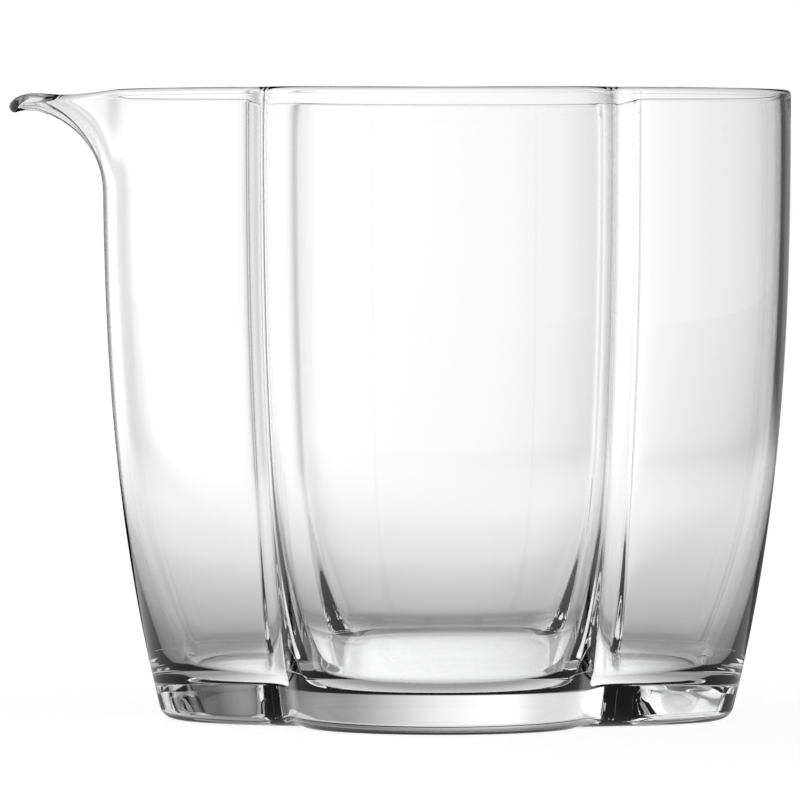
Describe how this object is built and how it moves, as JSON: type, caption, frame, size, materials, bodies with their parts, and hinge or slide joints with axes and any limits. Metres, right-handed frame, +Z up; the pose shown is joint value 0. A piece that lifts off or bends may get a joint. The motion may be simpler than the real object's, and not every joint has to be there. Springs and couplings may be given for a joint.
{
  "type": "tea fairness pitcher",
  "caption": "Clear glass fairness pitcher for serving tea: quatrefoil in plan, open at the top, with a thick floor, a drawn-in foot and a small pulled spout.",
  "frame": {"origin": "on the upright axis of the four lobes, in the flat underside of the foot", "axes": "+Z up towards the rim, -X out along the spout"},
  "size_m": [0.0978, 0.086, 0.0787],
  "materials": {
    "glass": "clear, colourless and fire-polished"
  },
  "bodies": {
    "root": {"pitcher": "glass"}
  },
  "joints": []
}
